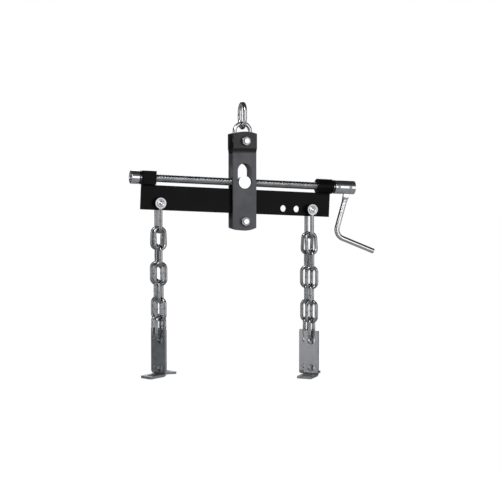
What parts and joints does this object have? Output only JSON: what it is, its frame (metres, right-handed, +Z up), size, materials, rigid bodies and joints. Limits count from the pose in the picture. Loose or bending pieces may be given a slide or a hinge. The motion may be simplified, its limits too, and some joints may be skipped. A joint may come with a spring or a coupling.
{
  "type": "engine load leveler",
  "caption": "Engine load leveler: a beam with a crank-driven screw in a hanging carriage, with shackled chains and mounting brackets for the engine",
  "frame": {"origin": "inside of the upper hoist link at its top, where the crane hook bears", "axes": "+X along the beam to the crank end, +Z up, -Y to the front of the picture"},
  "size_m": [0.5332, 0.1068, 0.5724],
  "materials": {
    "black_paint": "semi-gloss black paint",
    "dark_steel": "dark oiled steel",
    "bright_zinc": "bright zinc plate",
    "chain_zinc": "zinc-plated welded chain",
    "plain_steel": "dull zinc-plated steel"
  },
  "bodies": {
    "hook_link": {"hoist_link_upper": "bright_zinc"},
    "hanger_link": {"hoist_link_lower": "bright_zinc"},
    "carriage": {"carriage_plate_front": "black_paint", "carriage_plate_rear": "black_paint", "top_bolt": "bright_zinc", "top_nut": "bright_zinc", "top_sleeve": "dark_steel", "bottom_bolt": "bright_zinc", "bottom_nut": "bright_zinc", "bottom_sleeve": "dark_steel"},
    "trunnion": {"trunnion_nut": "bright_zinc"},
    "beam": {"beam_bar": "black_paint", "left_bearing_block": "black_paint", "right_bearing_boss": "black_paint"},
    "drive": {"screw": "bright_zinc", "left_collar": "bright_zinc", "left_thrust_ring": "dark_steel", "left_set_screw": "bright_zinc", "right_thrust_ring": "dark_steel", "right_set_screw": "bright_zinc", "crank_socket": "bright_zinc", "socket_cross_pin": "plain_steel", "crank_pivot_pin": "plain_steel"},
    "crank_arm": {"crank": "bright_zinc"},
    "left_clevis": {"left_shackle": "bright_zinc", "left_shackle_pin": "bright_zinc", "left_shackle_nut": "bright_zinc"},
    "left_front_a": {"left_front_link_a": "chain_zinc"},
    "left_front_b": {"left_front_link_b": "chain_zinc"},
    "left_front_c": {"left_front_link_c": "chain_zinc"},
    "left_front_d": {"left_front_link_d": "chain_zinc"},
    "left_front_e": {"left_front_link_e": "chain_zinc"},
    "left_front_f": {"left_front_link_f": "chain_zinc"},
    "left_front_mount": {"left_front_bracket": "plain_steel"},
    "left_back_a": {"left_back_link_a": "chain_zinc"},
    "left_back_b": {"left_back_link_b": "chain_zinc"},
    "left_back_c": {"left_back_link_c": "chain_zinc"},
    "left_back_d": {"left_back_link_d": "chain_zinc"},
    "left_back_e": {"left_back_link_e": "chain_zinc"},
    "left_back_f": {"left_back_link_f": "chain_zinc"},
    "left_back_mount": {"left_back_bracket": "plain_steel"},
    "right_clevis": {"right_shackle": "bright_zinc", "right_shackle_pin": "bright_zinc", "right_shackle_nut": "bright_zinc"},
    "right_front_a": {"right_front_link_a": "chain_zinc"},
    "right_front_b": {"right_front_link_b": "chain_zinc"},
    "right_front_c": {"right_front_link_c": "chain_zinc"},
    "right_front_d": {"right_front_link_d": "chain_zinc"},
    "right_front_e": {"right_front_link_e": "chain_zinc"},
    "right_front_f": {"right_front_link_f": "chain_zinc"},
    "right_front_mount": {"right_front_bracket": "plain_steel"},
    "right_back_a": {"right_back_link_a": "chain_zinc"},
    "right_back_b": {"right_back_link_b": "chain_zinc"},
    "right_back_c": {"right_back_link_c": "chain_zinc"},
    "right_back_d": {"right_back_link_d": "chain_zinc"},
    "right_back_e": {"right_back_link_e": "chain_zinc"},
    "right_back_f": {"right_back_link_f": "chain_zinc"},
    "right_back_mount": {"right_back_bracket": "plain_steel"}
  },
  "joints": [
    {"name": "hanger_swing", "type": "hinge", "parent": "hook_link", "child": "hanger_link", "pos_m": [0, 0, -0.0454], "axis": [0, 1, 0], "range_deg": [-45, 45]},
    {"name": "carriage_swing", "type": "hinge", "parent": "hanger_link", "child": "carriage", "pos_m": [0, 0, -0.0738], "axis": [0, 1, 0], "range_deg": [-30, 30]},
    {"name": "beam_tilt", "type": "hinge", "parent": "carriage", "child": "trunnion", "pos_m": [0, 0, -0.1577], "axis": [0, 1, 0], "range_deg": [-27.4, 22.4]},
    {"name": "beam_travel", "type": "slide", "parent": "trunnion", "child": "beam", "axis": [0.999, 0, -0.0436], "range_m": [-0.105, 0.135]},
    {"name": "screw_turn", "type": "hinge", "parent": "beam", "child": "drive", "pos_m": [0, 0, -0.1577], "axis": [0.999, 0, -0.0436], "range_deg": [-11900, 15300]},
    {"name": "crank_fold", "type": "hinge", "parent": "drive", "child": "crank_arm", "pos_m": [0.23597, 0, -0.168], "axis": [0, 1, 0], "range_deg": [-104, 15]},
    {"name": "left_shackle_swing", "type": "hinge", "parent": "beam", "child": "left_clevis", "pos_m": [-0.17841, 0, -0.19996], "axis": [0, 1, 0], "range_deg": [-45, 45]},
    {"name": "left_front_a_swing", "type": "hinge", "parent": "left_clevis", "child": "left_front_a", "pos_m": [-0.17841, -0.0084, -0.25696], "axis": [0, -1, 0], "range_deg": [-30, 30]},
    {"name": "left_front_b_swing", "type": "hinge", "parent": "left_front_a", "child": "left_front_b", "pos_m": [-0.17841, -0.0145, -0.29172], "axis": [-1, 0, 0], "range_deg": [0, 30]},
    {"name": "left_front_c_swing", "type": "hinge", "parent": "left_front_b", "child": "left_front_c", "pos_m": [-0.17841, -0.0145, -0.32742], "axis": [0.1771, 0.9842, 0], "range_deg": [-30, 30]},
    {"name": "left_front_d_swing", "type": "hinge", "parent": "left_front_c", "child": "left_front_d", "pos_m": [-0.17841, -0.0145, -0.36312], "axis": [-0.9373, 0.3486, 0], "range_deg": [0, 30]},
    {"name": "left_front_e_swing", "type": "hinge", "parent": "left_front_d", "child": "left_front_e", "pos_m": [-0.17841, -0.0145, -0.39882], "axis": [-0.509, -0.8607, 0], "range_deg": [-12, 30]},
    {"name": "left_front_f_swing", "type": "hinge", "parent": "left_front_e", "child": "left_front_f", "pos_m": [-0.17841, -0.0145, -0.43452], "axis": [-0.6428, 0.766, 0], "range_deg": [0, 30]},
    {"name": "left_front_bracket_swing", "type": "hinge", "parent": "left_front_f", "child": "left_front_mount", "pos_m": [-0.17841, -0.0145, -0.47022], "axis": [0.9063, 0.4226, 0], "range_deg": [-45, 45]},
    {"name": "left_back_a_swing", "type": "hinge", "parent": "left_clevis", "child": "left_back_a", "pos_m": [-0.17841, 0.0084, -0.25696], "axis": [0, -1, 0], "range_deg": [-30, 30]},
    {"name": "left_back_b_swing", "type": "hinge", "parent": "left_back_a", "child": "left_back_b", "pos_m": [-0.17841, 0.0145, -0.29172], "axis": [1, 0, 0], "range_deg": [0, 30]},
    {"name": "left_back_c_swing", "type": "hinge", "parent": "left_back_b", "child": "left_back_c", "pos_m": [-0.17841, 0.0145, -0.32742], "axis": [0.1771, 0.9842, 0], "range_deg": [-30, 30]},
    {"name": "left_back_d_swing", "type": "hinge", "parent": "left_back_c", "child": "left_back_d", "pos_m": [-0.17841, 0.0145, -0.36312], "axis": [0.9373, -0.3486, 0], "range_deg": [0, 30]},
    {"name": "left_back_e_swing", "type": "hinge", "parent": "left_back_d", "child": "left_back_e", "pos_m": [-0.17841, 0.0145, -0.39882], "axis": [-0.509, -0.8607, 0], "range_deg": [-30, 12]},
    {"name": "left_back_f_swing", "type": "hinge", "parent": "left_back_e", "child": "left_back_f", "pos_m": [-0.17841, 0.0145, -0.43452], "axis": [0.6428, -0.766, 0], "range_deg": [0, 30]},
    {"name": "left_back_bracket_swing", "type": "hinge", "parent": "left_back_f", "child": "left_back_mount", "pos_m": [-0.17841, 0.0145, -0.47022], "axis": [0.9063, 0.4226, 0], "range_deg": [-45, 45]},
    {"name": "right_shackle_swing", "type": "hinge", "parent": "beam", "child": "right_clevis", "pos_m": [0.14768, 0, -0.21419], "axis": [0, 1, 0], "range_deg": [-40, 45]},
    {"name": "right_front_a_swing", "type": "hinge", "parent": "right_clevis", "child": "right_front_a", "pos_m": [0.14768, -0.0084, -0.2712], "axis": [0, -1, 0], "range_deg": [-30, 30]},
    {"name": "right_front_b_swing", "type": "hinge", "parent": "right_front_a", "child": "right_front_b", "pos_m": [0.14768, -0.0145, -0.30596], "axis": [-1, 0, 0], "range_deg": [0, 30]},
    {"name": "right_front_c_swing", "type": "hinge", "parent": "right_front_b", "child": "right_front_c", "pos_m": [0.14768, -0.0145, -0.34166], "axis": [0.1771, 0.9842, 0], "range_deg": [-30, 30]},
    {"name": "right_front_d_swing", "type": "hinge", "parent": "right_front_c", "child": "right_front_d", "pos_m": [0.14768, -0.0145, -0.37736], "axis": [-0.9373, 0.3486, 0], "range_deg": [0, 30]},
    {"name": "right_front_e_swing", "type": "hinge", "parent": "right_front_d", "child": "right_front_e", "pos_m": [0.14768, -0.0145, -0.41306], "axis": [-0.509, -0.8607, 0], "range_deg": [-12, 30]},
    {"name": "right_front_f_swing", "type": "hinge", "parent": "right_front_e", "child": "right_front_f", "pos_m": [0.14768, -0.0145, -0.44876], "axis": [-0.757, 0.6534, 0], "range_deg": [0, 30]},
    {"name": "right_front_bracket_swing", "type": "hinge", "parent": "right_front_f", "child": "right_front_mount", "pos_m": [0.14768, -0.0145, -0.48446], "axis": [0.7145, 0.6997, 0], "range_deg": [-45, 45]},
    {"name": "right_back_a_swing", "type": "hinge", "parent": "right_clevis", "child": "right_back_a", "pos_m": [0.14768, 0.0084, -0.2712], "axis": [0, -1, 0], "range_deg": [-30, 30]},
    {"name": "right_back_b_swing", "type": "hinge", "parent": "right_back_a", "child": "right_back_b", "pos_m": [0.14768, 0.0145, -0.30596], "axis": [1, 0, 0], "range_deg": [0, 30]},
    {"name": "right_back_c_swing", "type": "hinge", "parent": "right_back_b", "child": "right_back_c", "pos_m": [0.14768, 0.0145, -0.34166], "axis": [0.1771, 0.9842, 0], "range_deg": [-30, 30]},
    {"name": "right_back_d_swing", "type": "hinge", "parent": "right_back_c", "child": "right_back_d", "pos_m": [0.14768, 0.0145, -0.37736], "axis": [0.9373, -0.3486, 0], "range_deg": [0, 30]},
    {"name": "right_back_e_swing", "type": "hinge", "parent": "right_back_d", "child": "right_back_e", "pos_m": [0.14768, 0.0145, -0.41306], "axis": [-0.509, -0.8607, 0], "range_deg": [-30, 12]},
    {"name": "right_back_f_swing", "type": "hinge", "parent": "right_back_e", "child": "right_back_f", "pos_m": [0.14768, 0.0145, -0.44876], "axis": [0.757, -0.6534, 0], "range_deg": [0, 30]},
    {"name": "right_back_bracket_swing", "type": "hinge", "parent": "right_back_f", "child": "right_back_mount", "pos_m": [0.14768, 0.0145, -0.48446], "axis": [0.7145, 0.6997, 0], "range_deg": [-45, 45]}
  ],
  "couplings": [
    {"joint": "beam_travel", "follows": "screw_turn", "m_per_rad": 0.00050532}
  ]
}
